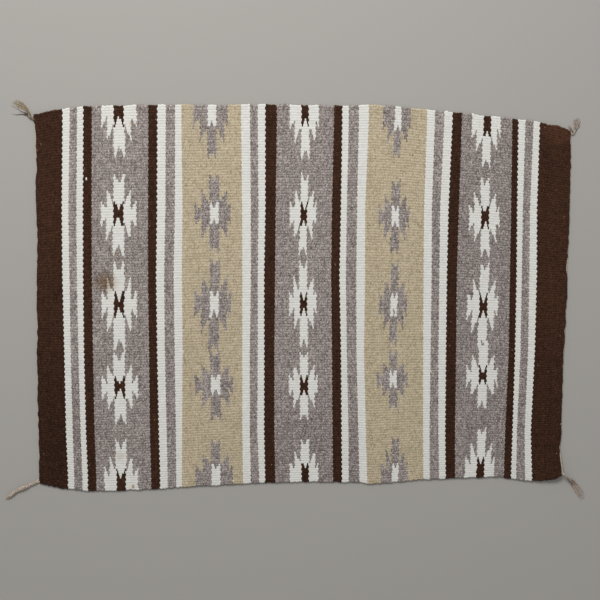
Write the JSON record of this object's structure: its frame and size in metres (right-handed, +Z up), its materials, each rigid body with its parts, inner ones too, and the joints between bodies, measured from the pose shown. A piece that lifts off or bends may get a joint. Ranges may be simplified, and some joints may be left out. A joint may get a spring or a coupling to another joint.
{
  "type": "navajo rug",
  "caption": "Flat tapestry-woven wool rug with ribbed faces, striped and stepped-diamond bands, dark ends and frayed cord tassels at the corners.",
  "frame": {"origin": "middle of the underside, on the floor", "axes": "+X along the rug's length and its warps, towards the right end in the picture; +Y across it, towards the top edge in the picture; +Z up, out of the patterned face"},
  "size_m": [0.9418, 0.6556, 0.0105],
  "materials": {
    "woven_wool": "weft-faced handspun wool, matte and slightly hairy",
    "cord_wool": "plied and frayed undyed wool, matte"
  },
  "bodies": {
    "root": {"woven_body": "woven_wool", "tassel_top_left": "cord_wool", "tassel_top_right": "cord_wool", "cord_bottom_left": "cord_wool", "tassel_bottom_right": "cord_wool"}
  },
  "joints": []
}
